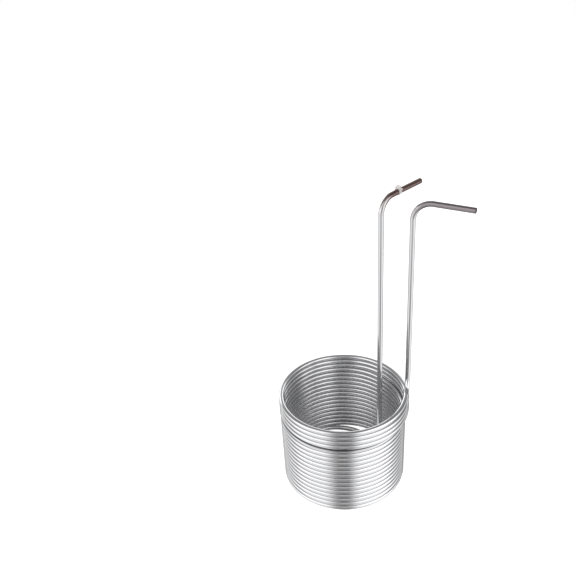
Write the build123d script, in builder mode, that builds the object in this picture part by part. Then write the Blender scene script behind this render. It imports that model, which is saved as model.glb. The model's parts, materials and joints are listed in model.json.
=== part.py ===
"""Immersion wort chiller: one drawn stainless tube wound into a standing coil.

Cold water comes in through one arm, runs down the riser inside the coil, spirals out along the
bottom to the coil, climbs through nineteen turns and leaves by the riser outside the coil.

The tube is one length of metal. It is modelled in the stretches that the bending shop makes one
after the other (arm, bend, riser, foot bend, lead-in, turns, lead-out), each a hollow solid that
meets the next face to face and in line with it. A nylon cable tie sits on the inner arm.

Frame, in millimetres: the coil's axis is Z, the origin is on that axis at the height of the
surface that the bottom turn stands on, +X points to the side where both risers stand and -Y is
the front.
"""

from build123d import *
from math import asin, atan2, cos, degrees, radians, sin
import os

os.makedirs("parts", exist_ok=True)

# ---- tube -------------------------------------------------------------------------------------
tube_diameter = 9.5
wall = 0.7
tube_radius = tube_diameter / 2
bore_radius = tube_radius - wall

# ---- coil -------------------------------------------------------------------------------------
turns = 19
pitch = 9.8                 # the turns lie 0.3 mm apart
band_turns = 4              # the top turns are wound a little wider than the rest
band_radius = 112.0         # radii are to the tube's centre
band_pull = 5.2             # and their right half is pulled out towards the outer riser
body_top_radius = 111.3     # the rest narrows a little towards the floor
body_bottom_radius = 110.4
bottom_height = tube_radius
top_height = bottom_height + (turns - 1) * pitch

# ---- inner riser, which feeds the bottom turn -------------------------------------------------
inner_x = 68.5
inner_foot_bend_radius = 25.0
inner_arm_height = top_height + 381.0
inner_arm_heading = 47.0    # degrees from +X towards +Y
inner_arm_reach = 100.0     # from the riser's axis to the cut end

# the inner arm's bend runs out in a slight curve, which carries the cable tie
inner_arm_bend_radius = 26.7
run_out_turn = 2.5          # degrees
run_out_reach = 45.5

# ---- outer riser, which leaves the top turn ---------------------------------------------------
lead_out_radius = 110.9
lead_out_sweep = 78.8       # degrees round from the front, to where it turns up
lead_out_rise = 8.0         # lifts it off the turn below
outer_foot_bend_radius = 28.0
outer_arm_height = top_height + 376.3
outer_arm_heading = -26.5
outer_arm_reach = 99.5
outer_arm_bend_radius = 33.0

# ---- cable tie on the inner arm ---------------------------------------------------------------
tie_reach = 42.0            # from the riser's axis
tie_strap_width = 4.8
tie_strap_thickness = 1.2
tie_clearance = 0.1         # between the strap and the tube
tie_head_length = 6.6       # along the arm
tie_head_width = 7.4        # across the arm
tie_head_height = 4.6
tie_head_fillet = 1.2
tie_tail_length = 4.0
tie_tail_thickness = 1.2

# ---- worked out -------------------------------------------------------------------------------


def turn_height(turn):
    """Height of the level half of a turn, counted from 1 at the top."""
    return top_height - (turn - 1) * pitch


def turn_radius(turn):
    """Radius of the level half of a turn."""
    if turn <= band_turns:
        return band_radius
    share = (turn - band_turns - 1) / (turns - band_turns - 1)
    return body_top_radius + share * (body_bottom_radius - body_top_radius)


def heading(angle):
    """Unit vector in the XY plane."""
    return Vector(cos(radians(angle)), sin(radians(angle)), 0)


# The lead-in is one arc. It leaves the foot bend heading along +Y and meets the bottom turn in line
# with it, so the distance between the two centres is the difference of the two radii.
start_offset = body_bottom_radius - inner_x
centre_offset = (inner_foot_bend_radius**2 + start_offset**2) / (2 * start_offset)
lead_in_radius = body_bottom_radius - centre_offset
lead_in_centre = Vector(inner_x - lead_in_radius, inner_foot_bend_radius, bottom_height)
lead_in_end_angle = degrees(atan2(lead_in_centre.Y, lead_in_centre.X))

# The lead-out is one arc too, after the pulled-out turns' short straight at the front. It lies on a
# plane tilted about X, and its last direction of travel gives the plane of the foot bend.
lead_out_tilt = asin(lead_out_rise / (lead_out_radius * (1 - cos(radians(lead_out_sweep)))))
lead_out_plane = Plane(
    origin=(0, -band_radius, top_height), x_dir=(1, 0, 0), z_dir=(0, -sin(lead_out_tilt), cos(lead_out_tilt))
)

# The inner arm's bend and run-out, as X along the arm and Y up from the arm's own height. The
# run-out ends level, and the bend ends in line with its start.
run_out_radius = (run_out_reach - inner_arm_bend_radius * (1 - sin(radians(run_out_turn)))) / sin(
    radians(run_out_turn)
)
run_out_drop = run_out_radius * (1 - cos(radians(run_out_turn)))
inner_spring_drop = run_out_drop + inner_arm_bend_radius * cos(radians(run_out_turn))


def write(part, name):
    """Name a finished piece and export it."""
    part.label = name
    export_step(part, f"parts/{name}.step")


def tube_section():
    """The tube's hollow round section, for use inside a sketch block."""
    Circle(tube_radius)
    Circle(bore_radius, mode=Mode.SUBTRACT)


# ---- the turns of the coil --------------------------------------------------------------------
# Each turn runs level round the left side from the back to the front, and climbs one pitch round
# the right side from the front to the back, on an arc tilted about an axis along X. The top turns
# have a short straight before and after that arc.

for turn in range(1, turns + 1):
    height = turn_height(turn)
    radius = turn_radius(turn)
    pull = Vector(band_pull if turn <= band_turns else 0, 0, 0)
    front = Vector(0, -radius, height)
    first_angle = lead_in_end_angle if turn == turns else 90

    with BuildPart() as coil_turn:
        with BuildLine() as turn_path:
            CenterArc((0, 0, height), radius, first_angle, 270 - first_angle)
            if turn > 1:
                back = Vector(0, turn_radius(turn - 1), height + pitch)
                climb_radius = (back - front).length / 2
                side = (front + back) / 2 + pull + Vector(climb_radius, 0, 0)
                if turn <= band_turns:
                    Line(front, front + pull)
                ThreePointArc(front + pull, side, back + pull)
                if turn <= band_turns:
                    Line(back + pull, back)
        with BuildSketch(Plane(origin=turn_path.line @ 0, z_dir=turn_path.line % 0)):
            tube_section()
        sweep()
    write(coil_turn.part, f"coil_turn_{turn:02d}")


# ---- inner riser: foot bend, lead-in, riser, arm bend and arm ---------------------------------
# The foot bend comes down the riser and turns towards +Y, where the lead-in takes over.

inner_foot = Vector(inner_x, 0, bottom_height + inner_foot_bend_radius)
lead_in_start = Vector(inner_x, inner_foot_bend_radius, bottom_height)

with BuildPart() as inner_foot_bend:
    with BuildLine(Plane.YZ.offset(inner_x)):
        CenterArc((inner_foot_bend_radius, inner_foot.Z), inner_foot_bend_radius, 180, 90)
    with BuildSketch(Plane.XY.offset(inner_foot.Z)):
        with Locations((inner_x, 0)):
            tube_section()
    sweep()
write(inner_foot_bend.part, "inner_foot_bend")

with BuildPart() as bottom_lead_in:
    with BuildLine():
        CenterArc(lead_in_centre, lead_in_radius, 0, lead_in_end_angle)
    with BuildSketch(Plane(origin=lead_in_start, z_dir=(0, 1, 0))):
        tube_section()
    sweep()
write(bottom_lead_in.part, "bottom_lead_in")


def riser(foot, upper_end):
    """A straight upright length of tube from a point up to a height."""
    with BuildPart() as upright:
        with BuildSketch(Plane(origin=foot)):
            tube_section()
        extrude(amount=upper_end - foot.Z)
    return upright.part


def arm_plane(foot, arm_heading):
    """Upright plane through a riser: its X runs along the arm and its Y runs up."""
    return Plane(origin=(foot.X, foot.Y, 0), x_dir=heading(arm_heading), z_dir=heading(arm_heading - 90))


def arm_curve(plane, centre, radius, first_angle, turn_angle):
    """A curved stretch of an arm: an arc in its upright plane, bending towards the level."""
    with BuildPart() as curve:
        with BuildLine(plane) as path:
            CenterArc(centre, radius, first_angle, -turn_angle)
        with BuildSketch(Plane(origin=path.line @ 0, z_dir=path.line % 0)):
            tube_section()
        sweep()
    return curve.part


def arm(foot, arm_height, arm_heading, first_reach, last_reach):
    """The level arm, between two distances from its riser's axis."""
    start = Vector(foot.X, foot.Y, arm_height) + heading(arm_heading) * first_reach
    with BuildPart() as straight:
        with BuildSketch(Plane(origin=start, z_dir=heading(arm_heading))):
            tube_section()
        extrude(amount=last_reach - first_reach)
    return straight.part


inner_plane = arm_plane(inner_foot, inner_arm_heading)
inner_spring_height = inner_arm_height - inner_spring_drop
write(riser(inner_foot, inner_spring_height), "inner_riser")
write(
    arm_curve(
        inner_plane,
        (inner_arm_bend_radius, inner_spring_height),
        inner_arm_bend_radius,
        180,
        90 - run_out_turn,
    ),
    "inner_arm_bend",
)
write(
    arm_curve(
        inner_plane,
        (run_out_reach, inner_arm_height - run_out_radius),
        run_out_radius,
        90 + run_out_turn,
        run_out_turn,
    ),
    "inner_arm_run_out",
)
write(arm(inner_foot, inner_arm_height, inner_arm_heading, run_out_reach, inner_arm_reach), "inner_arm")


# ---- outer riser: lead-out, foot bend, riser, arm bend and arm ----------------------------------
# The top turn's last quarter follows the turns below and lifts off them. The foot bend then turns
# it upright in its own direction of travel, so that the riser stands outside the coil.

with BuildPart() as top_lead_out:
    with BuildLine(lead_out_plane) as lead_out_path:
        Line((0, 0), (band_pull, 0))
        CenterArc((band_pull, lead_out_radius), lead_out_radius, -90, lead_out_sweep)
    with BuildSketch(Plane(origin=lead_out_path.line @ 0, z_dir=lead_out_path.line % 0)):
        tube_section()
    sweep()
write(top_lead_out.part, "top_lead_out")

lead_out_end = lead_out_path.line @ 1
end_direction = lead_out_path.line % 1
end_slope = asin(end_direction.Z)
level_direction = Vector(end_direction.X, end_direction.Y, 0).normalized()
sideways = level_direction.cross(Vector(0, 0, 1))
outer_foot_plane = Plane(origin=lead_out_end, x_dir=level_direction, z_dir=sideways)

with BuildPart() as outer_foot_bend:
    with BuildLine(outer_foot_plane):
        CenterArc(
            (-outer_foot_bend_radius * sin(end_slope), outer_foot_bend_radius * cos(end_slope)),
            outer_foot_bend_radius,
            degrees(end_slope) - 90,
            90 - degrees(end_slope),
        )
    with BuildSketch(Plane(origin=lead_out_end, z_dir=end_direction)):
        tube_section()
    sweep()
write(outer_foot_bend.part, "outer_foot_bend")

outer_foot = (
    lead_out_end
    + level_direction * outer_foot_bend_radius * (1 - sin(end_slope))
    + Vector(0, 0, outer_foot_bend_radius * cos(end_slope))
)
outer_spring_height = outer_arm_height - outer_arm_bend_radius
write(riser(outer_foot, outer_spring_height), "outer_riser")
write(
    arm_curve(
        arm_plane(outer_foot, outer_arm_heading),
        (outer_arm_bend_radius, outer_spring_height),
        outer_arm_bend_radius,
        180,
        90,
    ),
    "outer_arm_bend",
)
write(arm(outer_foot, outer_arm_height, outer_arm_heading, outer_arm_bend_radius, outer_arm_reach), "outer_arm")


# ---- cable tie --------------------------------------------------------------------------------
# The strap goes once round the inner arm's run-out, through the head that stands on top, and its
# cut tail shows beside the head.

tie_centre = Vector(inner_foot.X, inner_foot.Y, inner_arm_height) + heading(inner_arm_heading) * tie_reach
tie_plane = Plane(origin=tie_centre, x_dir=(0, 0, 1), z_dir=heading(inner_arm_heading))
tie_bore_radius = tube_radius + tie_clearance
strap_radius = tie_bore_radius + tie_strap_thickness
head_base = tie_bore_radius + tie_strap_thickness / 2

with BuildPart() as cable_tie:
    with BuildSketch(tie_plane.offset(-tie_head_length / 2)):
        with Locations((head_base + tie_head_height / 2, 0)):
            RectangleRounded(tie_head_height, tie_head_width, tie_head_fillet)
    extrude(amount=tie_head_length)
    with BuildSketch(tie_plane.offset(-tie_strap_width / 2)):
        Circle(strap_radius)
        with Locations((strap_radius - tie_tail_thickness / 2, tie_tail_length)):
            Rectangle(tie_tail_thickness, 2 * tie_tail_length)
        Circle(tie_bore_radius, mode=Mode.SUBTRACT)
    extrude(amount=tie_strap_width)
    fillet(cable_tie.faces().sort_by(Axis.Z)[-1].edges(), tie_head_fillet / 2)
write(cable_tie.part, "cable_tie")
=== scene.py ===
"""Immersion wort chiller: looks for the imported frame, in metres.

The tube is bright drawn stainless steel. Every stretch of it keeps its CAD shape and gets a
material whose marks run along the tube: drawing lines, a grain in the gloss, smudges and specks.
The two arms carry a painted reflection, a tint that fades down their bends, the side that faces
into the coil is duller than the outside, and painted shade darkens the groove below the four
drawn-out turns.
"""

import json
import math

import bpy
from mathutils import Matrix, Vector


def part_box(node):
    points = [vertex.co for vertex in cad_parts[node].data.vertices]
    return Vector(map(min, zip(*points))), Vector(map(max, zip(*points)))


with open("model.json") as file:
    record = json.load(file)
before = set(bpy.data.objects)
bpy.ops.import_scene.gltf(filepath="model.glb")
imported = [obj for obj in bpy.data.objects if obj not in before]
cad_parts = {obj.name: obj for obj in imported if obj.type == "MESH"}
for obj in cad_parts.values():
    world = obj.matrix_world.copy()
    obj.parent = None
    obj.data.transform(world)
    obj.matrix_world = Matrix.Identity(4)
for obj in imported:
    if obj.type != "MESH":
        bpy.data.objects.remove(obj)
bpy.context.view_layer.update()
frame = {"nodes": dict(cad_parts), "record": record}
scene = bpy.context.scene

# ---- camera -----------------------------------------------------------------------------------
# The view looks down on the coil from the front, and the object stands in the lower right of the
# picture.

CAMERA_PLACE = (0.0, -1.0494, 1.0161)
CAMERA_PITCH = 30.07        # degrees below the horizon
CAMERA_YAW = 4.73           # degrees, towards the left
CAMERA_ROLL = -3.78         # degrees
CAMERA_LENS = 45.0          # millimetres
SENSOR_WIDTH = 36.0

camera = bpy.data.objects.new("camera", bpy.data.cameras.new("camera"))
scene.collection.objects.link(camera)
camera.data.sensor_width = SENSOR_WIDTH
camera.data.lens = CAMERA_LENS
camera.matrix_world = (
    Matrix.Translation(CAMERA_PLACE)
    @ Matrix.Rotation(math.radians(CAMERA_YAW), 4, "Z")
    @ Matrix.Rotation(math.radians(90 - CAMERA_PITCH), 4, "X")
    @ Matrix.Rotation(math.radians(CAMERA_ROLL), 4, "Z")
)
scene.camera = camera

# ---- where things are, from the frame ----------------------------------------------------------

mounts = {m["name"]: m for m in frame["record"]["mounts"]}
COIL_TURNS = [f"coil_turn_{i:02d}" for i in range(1, 20)]


def middle(node):
    """Centre of a node's box."""
    low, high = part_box(node)
    return (Vector(low) + Vector(high)) / 2


def riser_frame(side):
    """Foot point, top height, arm direction and arm height of the inner or outer riser."""
    place = middle(f"{side}_riser")
    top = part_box(f"{side}_riser")[1][2]
    seat = mounts[f"{side}_hose_seat"]
    return Vector((place.x, place.y, 0)), top, Vector(seat["axis"]), seat["pos_m"][2]


# ---- shader helpers ----------------------------------------------------------------------------


class Nodes:
    """Small helper that adds nodes to a tree and links them."""

    def __init__(self, tree):
        self.tree = tree
        tree.nodes.clear()

    def add(self, kind, inputs=None, **settings):
        node = self.tree.nodes.new(kind)
        for key, value in settings.items():
            setattr(node, key, value)
        for key, value in (inputs or {}).items():
            if isinstance(value, bpy.types.NodeSocket):
                self.tree.links.new(value, node.inputs[key])
            else:
                node.inputs[key].default_value = value
        return node

    def math(self, operation, *values):
        node = self.add("ShaderNodeMath", dict(enumerate(values)), operation=operation)
        return node.outputs[0]

    def vector_math(self, operation, *values, output=0):
        node = self.add("ShaderNodeVectorMath", dict(enumerate(values)), operation=operation)
        return node.outputs[output]

    def ramp(self, value, low, high, to_low=0.0, to_high=1.0, smooth=True):
        source = {"Value": value, "From Min": low, "From Max": high}
        target = {"To Min": to_low, "To Max": to_high}
        kind = "SMOOTHSTEP" if smooth else "LINEAR"
        node = self.add("ShaderNodeMapRange", source | target, interpolation_type=kind, clamp=True)
        return node.outputs[0]

    def mix(self, factor, a, b):
        node = self.add("ShaderNodeMix", data_type="RGBA")
        for socket, value in ((node.inputs[0], factor), (node.inputs[6], a), (node.inputs[7], b)):
            if isinstance(value, bpy.types.NodeSocket):
                self.tree.links.new(value, socket)
            else:
                socket.default_value = value
        return node.outputs[2]

    def noise(self, vector, scale, detail=2.0, roughness=0.5):
        inputs = {"Vector": vector, "Scale": scale, "Detail": detail, "Roughness": roughness}
        return self.add("ShaderNodeTexNoise", inputs).outputs["Fac"]


def new_material(name):
    material = bpy.data.materials.new(name)
    material.use_nodes = True
    return material, Nodes(material.node_tree)


def dress(node_name, material):
    """Gives a CAD node one material in all its slots."""
    data = frame["nodes"][node_name].data
    data.materials.clear()
    data.materials.append(material)


# ---- tube material -----------------------------------------------------------------------------

STEEL = (0.62, 0.62, 0.63, 1)
LINE_SHADE = (0.40, 0.40, 0.41, 1)      # colour of the broad drawing lines
LINE_SHADE_SHARE = 0.10                 # how much of it they get
# brown and mauve tints: painted reflections on the two arms
BROWN_REFLECTION_TINT = (0.155, 0.098, 0.088, 1)
MAUVE_REFLECTION_TINT = (0.225, 0.197, 0.207, 1)
# painted shade for the groove below the drawn-out turns
GROOVE_PAINTED_SHADE = (0.07, 0.07, 0.075, 1)
NYLON = (0.70, 0.665, 0.655, 1)
NYLON_ROUGHNESS = 0.4
NYLON_TRANSMISSION = 0.45
NYLON_IOR = 1.50

# Roughness: the bare steel's, from low to high in the grain, and what each mark adds
GLOSS = (0.07, 0.13)
SMUDGE_DULLNESS = 0.05
SPECK_DULLNESS = 0.06
TINT_DULLNESS = 0.20
INSIDE_DULLNESS = 0.07

# Noises: how far each is drawn out along the tube, and its scale
FINE_LINES = {"stretch": 90.0, "scale": 2600.0}
BROAD_LINES = {"stretch": 40.0, "scale": 520.0}
FINE_SHARE, BROAD_SHARE = 0.6, 0.4
SMUDGE_SCALE = 34.0
SPECK_SCALE = 900.0
NOISE_RANGE = (0.3, 0.7)                # most of a noise's values
SMUDGE_RANGE = (0.45, 0.75)             # the values that show as smudges
SPECK_RANGE = (0.62, 0.8)               # the values that show as specks
BUMP_STRENGTH = 0.10
BUMP_HEIGHT = 0.00015                   # metres
SPECK_BUMP = 0.25

# Painted reflection tint: where it starts and where it is full, in metres along the stretch
BEND_TINT = (0.0, 0.040)
ARM_TINT = (-0.1, -0.05)                # full all along
TINT_UNEVENNESS = 0.004                 # metres

# Where a turn's surface faces, as a component of its normal, or where it is round the coil
INNER_SIDE = (-0.5, 0.1)                # facing inwards, to facing outwards
OUTER_SIDE = (0.0, 0.2)
SHOULDER = (0.30, 0.62)                 # facing sideways, to facing up
BACK_FADE = (0.30, 0.62)                # from the sides to the back

COIL_RADIUS = 0.112                     # metres, to the tube's centre
GROOVE_TURN = "coil_turn_05"            # the turn under the drawn-out ones
WORLD_AXES = ((1, 0, 0), (0, 1, 0), (0, 0, 1))
ARM_NODES = {"inner": ("inner_arm_run_out", "inner_arm"), "outer": ("outer_arm",)}


def tube_coordinates(n, origin, axes, bend_radius=None):
    """Coordinates that follow a tube: two across it and one along it, in metres.

    axes holds the directions of the local X, Y and Z. A straight stretch runs along local Z. A
    bent one runs round local Z, bend_radius away from it, starting at local X.
    """
    place = n.add("ShaderNodeTexCoord").outputs["Object"]
    offset = n.vector_math("SUBTRACT", place, tuple(origin))
    x, y, z = (n.vector_math("DOT_PRODUCT", offset, tuple(a), output="Value") for a in axes)
    if bend_radius is None:
        return x, y, z
    out = n.math("SQRT", n.math("ADD", n.math("MULTIPLY", x, x), n.math("MULTIPLY", y, y)))
    along = n.math("MULTIPLY", n.math("ARCTAN2", y, x), bend_radius)
    return out, z, along


def stretched(n, across_a, across_b, along, stretch):
    """The coordinates as one vector, with the length along the tube divided by stretch."""
    inputs = {"X": across_a, "Y": across_b, "Z": n.math("DIVIDE", along, stretch)}
    return n.add("ShaderNodeCombineXYZ", inputs).outputs[0]


# A finish gives the colour of a stretch of tube and the roughness it adds.


def plain(n, along, smudge):
    """Bare steel."""
    return STEEL, 0.0


def reflection_tint(colour, start, full):
    """Painted reflection: a tint that grows along the tube from start to full, with an uneven
    front.
    """

    def finish(n, along, smudge):
        shift = n.ramp(smudge, *NOISE_RANGE, -TINT_UNEVENNESS, TINT_UNEVENNESS)
        share = n.ramp(n.math("ADD", along, shift), start, full)
        return n.mix(share, STEEL, colour), n.math("MULTIPLY", share, TINT_DULLNESS)

    return finish


def facing(n):
    """How far a surface faces away from the coil's axis, and how far up, both -1 to 1."""
    place = n.vector_math("MULTIPLY", n.add("ShaderNodeTexCoord").outputs["Object"], (1, 1, 0))
    away = n.vector_math("NORMALIZE", place)
    normal = n.add("ShaderNodeNewGeometry").outputs["Normal"]
    up = n.add("ShaderNodeSeparateXYZ", {0: normal}).outputs["Z"]
    return n.vector_math("DOT_PRODUCT", normal, away, output="Value"), up


def coil_finish(n, along, smudge):
    """The side that faces into the coil is duller than the outside."""
    outward, _ = facing(n)
    inside = n.ramp(outward, *INNER_SIDE, 1.0, 0.0)
    return STEEL, n.math("MULTIPLY", inside, INSIDE_DULLNESS)


def groove_finish(n, along, smudge):
    """As coil_finish, with painted shade on the turn's outer shoulder that fades out at the back.
    """
    outward, upward = facing(n)
    place = n.vector_math("NORMALIZE", n.add("ShaderNodeTexCoord").outputs["Object"])
    back = n.add("ShaderNodeSeparateXYZ", {0: place}).outputs["Y"]
    # painted shade: darkens the upward, outward shoulder, where the groove under the band lies
    painted_shade = n.math("MULTIPLY", n.ramp(upward, *SHOULDER), n.ramp(outward, *OUTER_SIDE))
    painted_shade = n.math("MULTIPLY", painted_shade, n.ramp(back, *BACK_FADE, 1.0, 0.0))
    colour, dullness = coil_finish(n, along, smudge)
    return n.mix(painted_shade, colour, GROOVE_PAINTED_SHADE), dullness


def lines_along(n, coordinates, lines, detail, roughness=0.5):
    """Noise drawn out along the tube."""
    vector = stretched(n, *coordinates, lines["stretch"])
    return n.noise(vector, lines["scale"], detail, roughness)


def steel_material(name, origin=(0, 0, 0), axes=WORLD_AXES, bend_radius=None, finish=plain):
    """Bright drawn stainless steel, with marks that run along the tube."""
    material, n = new_material(name)
    coordinates = tube_coordinates(n, origin, axes, bend_radius)
    fine = lines_along(n, coordinates, FINE_LINES, 3.0, 0.6)
    broad = lines_along(n, coordinates, BROAD_LINES, 2.0)
    place = n.add("ShaderNodeTexCoord").outputs["Object"]
    smudge = n.noise(place, SMUDGE_SCALE, 4.0, 0.6)
    speck = n.noise(place, SPECK_SCALE, 2.0)
    fine_part = n.math("MULTIPLY", fine, FINE_SHARE)
    lines = n.math("ADD", fine_part, n.math("MULTIPLY", broad, BROAD_SHARE))

    colour, dullness = finish(n, coordinates[2], smudge)
    colour = n.mix(n.ramp(broad, *NOISE_RANGE, 0.0, LINE_SHADE_SHARE), colour, LINE_SHADE)
    gloss = n.ramp(lines, *NOISE_RANGE, *GLOSS)
    gloss = n.math("ADD", gloss, n.ramp(smudge, *SMUDGE_RANGE, 0.0, SMUDGE_DULLNESS))
    gloss = n.math("ADD", gloss, n.ramp(speck, *SPECK_RANGE, 0.0, SPECK_DULLNESS))
    gloss = n.math("ADD", gloss, dullness)
    height = n.math("ADD", lines, n.math("MULTIPLY", speck, SPECK_BUMP))
    bump = n.add(
        "ShaderNodeBump",
        {"Height": height, "Strength": BUMP_STRENGTH, "Distance": BUMP_HEIGHT},
    )
    shader = n.add(
        "ShaderNodeBsdfPrincipled",
        {"Base Color": colour, "Metallic": 1.0, "Roughness": gloss, "Normal": bump.outputs[0]},
    )
    n.add("ShaderNodeOutputMaterial", {"Surface": shader.outputs[0]})
    return material


def dress_coil():
    """The turns and the two arcs that leave them."""
    coil_steel = steel_material("coil_steel", bend_radius=COIL_RADIUS, finish=coil_finish)
    for node in COIL_TURNS + ["top_lead_out", "bottom_lead_in"]:
        dress(node, coil_steel)
    groove_steel = steel_material("groove_steel", bend_radius=COIL_RADIUS, finish=groove_finish)
    dress(GROOVE_TURN, groove_steel)


def dress_riser(side, tint_colour):
    """One riser's foot, bend and arm. The painted reflection grows up the bend and is full on the
    arm.
    """
    foot, top, arm_direction, arm_height = riser_frame(side)
    bend_radius = arm_height - top
    up = Vector((0, 0, 1))
    sideways = up.cross(arm_direction)
    dress(f"{side}_riser", steel_material(f"{side}_riser_steel", foot))
    dress(f"{side}_foot_bend", steel_material(f"{side}_foot_steel", foot))

    bend_centre = foot + arm_direction * bend_radius + up * top
    bend_axes = (-arm_direction, up, sideways)
    bend_tint = reflection_tint(tint_colour, *BEND_TINT)
    name = f"{side}_bend_steel"
    dress(
        f"{side}_arm_bend",
        steel_material(name, bend_centre, bend_axes, bend_radius, bend_tint),
    )

    arm_start = foot + up * arm_height
    arm_axes = (up, sideways, arm_direction)
    arm_tint = reflection_tint(tint_colour, *ARM_TINT)
    arm_steel = steel_material(f"{side}_arm_steel", arm_start, arm_axes, None, arm_tint)
    for node in ARM_NODES[side]:
        dress(node, arm_steel)


def dress_tie():
    """Natural nylon, which lets some light through."""
    nylon, n = new_material("nylon")
    shader = n.add(
        "ShaderNodeBsdfPrincipled",
        {
            "Base Color": NYLON,
            "Roughness": NYLON_ROUGHNESS,
            "Transmission Weight": NYLON_TRANSMISSION,
            "IOR": NYLON_IOR,
        },
    )
    n.add("ShaderNodeOutputMaterial", {"Surface": shader.outputs[0]})
    dress("cable_tie", nylon)


dress_coil()
# the arms' tints are painted reflections
dress_riser("inner", BROWN_REFLECTION_TINT)
dress_riser("outer", MAUVE_REFLECTION_TINT)
dress_tie()

# ---- studio ------------------------------------------------------------------------------------
# A light tent, by direction seen from the coil. Only reflections and soft light see it; the camera
# sees plain white.

# Brightness round the tent: degrees from the front, positive to the right
TENT = (
    (-180, 0.40),
    (-120, 0.94),
    (-80, 1.62),
    (-36, 1.26),
    (-7, 0.24),
    (5, 0.24),
    (29, 1.34),
    (75, 1.80),
    (110, 0.86),
    (140, 0.38),
    (180, 0.40),
)
# Angles round the tent, in degrees from the front on either side
FRONT_TO_SIDE = (48.0, 90.0)
SIDE_TO_BACK = (115.0, 140.0)
BACK_WALL = (110.0, 140.0)
TABLE_EDGE_WIDTH = (0.0, 30.0)
FRONT_LAMP_WIDTH = (4.0, 26.0)

# Heights, in degrees above the horizon
FRONT_WALL_TOP = 60.0
SIDE_WALL_TOP = 13.0
BACK_WALL_RISE = 19.0       # how much higher the wall ends at the back than at the side
WALL_SOFTNESS = 7.0
WALL_FOOT = (-12.0, 4.0)
TABLE_EDGE_BOTTOM = (-36.0, -25.0)
TABLE_EDGE_TOP = (-8.0, 0.0)
BACK_WALL_BOTTOM = (-6.0, 4.0)
FRONT_LAMP_BOTTOM = (16.0, 36.0)

# Levels: two that the walls are multiplied by, and three that are added to them
CEILING_LEVELS = (0.10, 0.20)           # above the front wall, above the others
WALL_LEVELS = (0.84, 1.30)              # below the foot, above it
TABLE_EDGE_LEVEL = 0.55
BACK_WALL_LEVEL = 0.9
FRONT_LAMP_LEVEL = 0.36

WHITE = (1.0, 1.0, 1.0, 1)
FLOOR_SIZE = 8.0            # metres
FLOOR_DIFFUSE = 0.5
FLOOR_GLOW = 0.82
# The shaded floor inside the coil, in metres and in levels of light
SHADE_RADIUS = 0.104
SHADE_LIFT = 0.0005
SHADE_CORNERS = range(0, 360, 15)       # degrees
SHADE_STRIP = (0.003, 0.026)            # half widths of the darker strip from front to back
SHADE_STRIP_LEVEL = 0.35
SHADE_BACK = (0.0, 0.065)               # from here to here it darkens towards the back
SHADE_BACK_LEVEL = 0.25

TOP_LIGHT_ENERGY = 1.6
TOP_LIGHT_SPREAD = 60       # degrees
TOP_LIGHT_TILT = 22         # degrees


def studio_world():
    """The tent."""
    world = bpy.data.worlds.new("studio")
    world.use_nodes = True
    scene.world = world
    n = Nodes(world.node_tree)
    direction = n.add("ShaderNodeTexCoord").outputs["Generated"]
    x, y, z = n.add("ShaderNodeSeparateXYZ", {0: direction}).outputs
    turn = n.math("DEGREES", n.math("ARCTAN2", x, n.math("MULTIPLY", y, -1.0)))
    share = n.ramp(turn, -180.0, 180.0, smooth=False)
    tent = n.add("ShaderNodeValToRGB", {"Fac": share})
    tent.color_ramp.interpolation = "EASE"
    stops = tent.color_ramp.elements
    while len(stops) < len(TENT):
        stops.new(0.5)
    for stop, (angle, _) in zip(stops, TENT):
        stop.position = (angle + 180) / 360
    for stop, (_, tone) in zip(stops, TENT):
        stop.color = (tone, tone, tone, 1)

    height = n.math("DEGREES", n.math("ARCSINE", z))
    away = n.math("ABSOLUTE", turn)

    # where the walls end: high at the front, low at the sides, and between the two at the back
    front_edge = n.ramp(away, *FRONT_TO_SIDE, FRONT_WALL_TOP, SIDE_WALL_TOP)
    back_edge = n.ramp(away, *SIDE_TO_BACK, 0.0, BACK_WALL_RISE)
    above = n.math("SUBTRACT", height, n.math("ADD", front_edge, back_edge))
    ceiling_level = n.ramp(away, *FRONT_TO_SIDE, *CEILING_LEVELS)
    ceiling = n.ramp(above, -WALL_SOFTNESS, WALL_SOFTNESS, 1.0, ceiling_level)
    rise = n.ramp(height, *WALL_FOOT, *WALL_LEVELS)

    # three lights on the walls: the table's edge and a lamp at the front, and the back wall
    table_bottom = n.ramp(height, *TABLE_EDGE_BOTTOM)
    table_edge = n.math("MULTIPLY", table_bottom, n.ramp(height, *TABLE_EDGE_TOP, 1.0, 0.0))
    table_side = n.ramp(away, *TABLE_EDGE_WIDTH, TABLE_EDGE_LEVEL, 0.0)
    table_edge = n.math("MULTIPLY", table_edge, table_side)
    back_side = n.ramp(away, *BACK_WALL, 0.0, BACK_WALL_LEVEL)
    back_wall = n.math("MULTIPLY", n.ramp(height, *BACK_WALL_BOTTOM), back_side)
    lamp_side = n.ramp(away, *FRONT_LAMP_WIDTH, FRONT_LAMP_LEVEL, 0.0)
    front_lamp = n.math("MULTIPLY", n.ramp(height, *FRONT_LAMP_BOTTOM), lamp_side)
    wall = tent.outputs[0]
    for extra in (table_edge, back_wall, front_lamp):
        wall = n.math("ADD", wall, extra)
    level = n.math("MULTIPLY", n.math("MULTIPLY", wall, ceiling), rise)

    camera_ray = n.add("ShaderNodeLightPath").outputs["Is Camera Ray"]
    tone = n.mix(camera_ray, level, WHITE)
    background = n.add("ShaderNodeBackground", {"Color": tone, "Strength": 1.0})
    n.add("ShaderNodeOutputWorld", {"Surface": background.outputs[0]})


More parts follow.
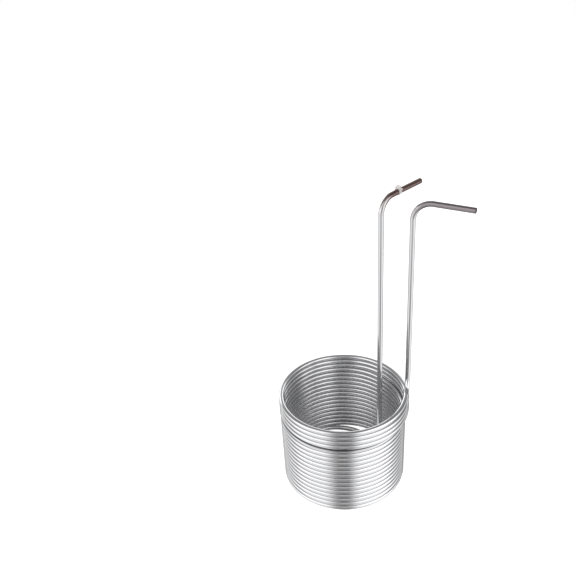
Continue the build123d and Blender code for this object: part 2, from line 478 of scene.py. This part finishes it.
def studio_floor():
    """White floor, which the steel doesn't mirror: the tent's lower half stands for it there."""
    mesh = bpy.data.meshes.new("floor")
    h = FLOOR_SIZE / 2
    mesh.from_pydata([(-h, -h, 0), (h, -h, 0), (h, h, 0), (-h, h, 0)], [], [(0, 1, 2, 3)])
    floor = bpy.data.objects.new("floor", mesh)
    scene.collection.objects.link(floor)
    material, n = new_material("floor")
    grey = (FLOOR_DIFFUSE, FLOOR_DIFFUSE, FLOOR_DIFFUSE, 1)
    cloth = n.add("ShaderNodeBsdfDiffuse", {"Color": grey})
    glow = n.add("ShaderNodeEmission", {"Color": WHITE, "Strength": FLOOR_GLOW})
    both = n.add("ShaderNodeAddShader", {0: cloth.outputs[0], 1: glow.outputs[0]})
    n.add("ShaderNodeOutputMaterial", {"Surface": both.outputs[0]})
    mesh.materials.append(material)
    floor.visible_glossy = False


def shaded_floor():
    """The floor inside the coil as the steel mirrors it, in the shade of the turns."""
    mesh = bpy.data.meshes.new("shaded_floor")
    corners = [
        (SHADE_RADIUS * math.cos(a), SHADE_RADIUS * math.sin(a), SHADE_LIFT)
        for a in map(math.radians, SHADE_CORNERS)
    ]
    mesh.from_pydata(corners, [], [list(range(len(corners)))])
    shade = bpy.data.objects.new("shaded_floor", mesh)
    scene.collection.objects.link(shade)
    material, n = new_material("shaded_floor")
    place = n.add("ShaderNodeTexCoord").outputs["Object"]
    x, y, _ = n.add("ShaderNodeSeparateXYZ", {0: place}).outputs
    level = n.ramp(n.math("ABSOLUTE", x), *SHADE_STRIP, SHADE_STRIP_LEVEL, 1.0)
    level = n.math("MULTIPLY", level, n.ramp(y, *SHADE_BACK, 1.0, SHADE_BACK_LEVEL))
    glow = n.add("ShaderNodeEmission", {"Color": WHITE, "Strength": level})
    n.add("ShaderNodeOutputMaterial", {"Surface": glow.outputs[0]})
    mesh.materials.append(material)
    shade.visible_camera = False
    shade.visible_diffuse = False
    shade.visible_transmission = False
    shade.visible_shadow = False


def studio_top_light():
    """Wide soft light from above, for the floor and the tie."""
    light = bpy.data.lights.new("top_light", "SUN")
    light.energy = TOP_LIGHT_ENERGY
    light.angle = math.radians(TOP_LIGHT_SPREAD)
    lamp = bpy.data.objects.new("top_light", light)
    scene.collection.objects.link(lamp)
    lamp.rotation_euler = (math.radians(TOP_LIGHT_TILT), 0, 0)
    lamp.visible_glossy = False


studio_world()
studio_floor()
shaded_floor()
studio_top_light()
scene.view_settings.view_transform = "Standard"
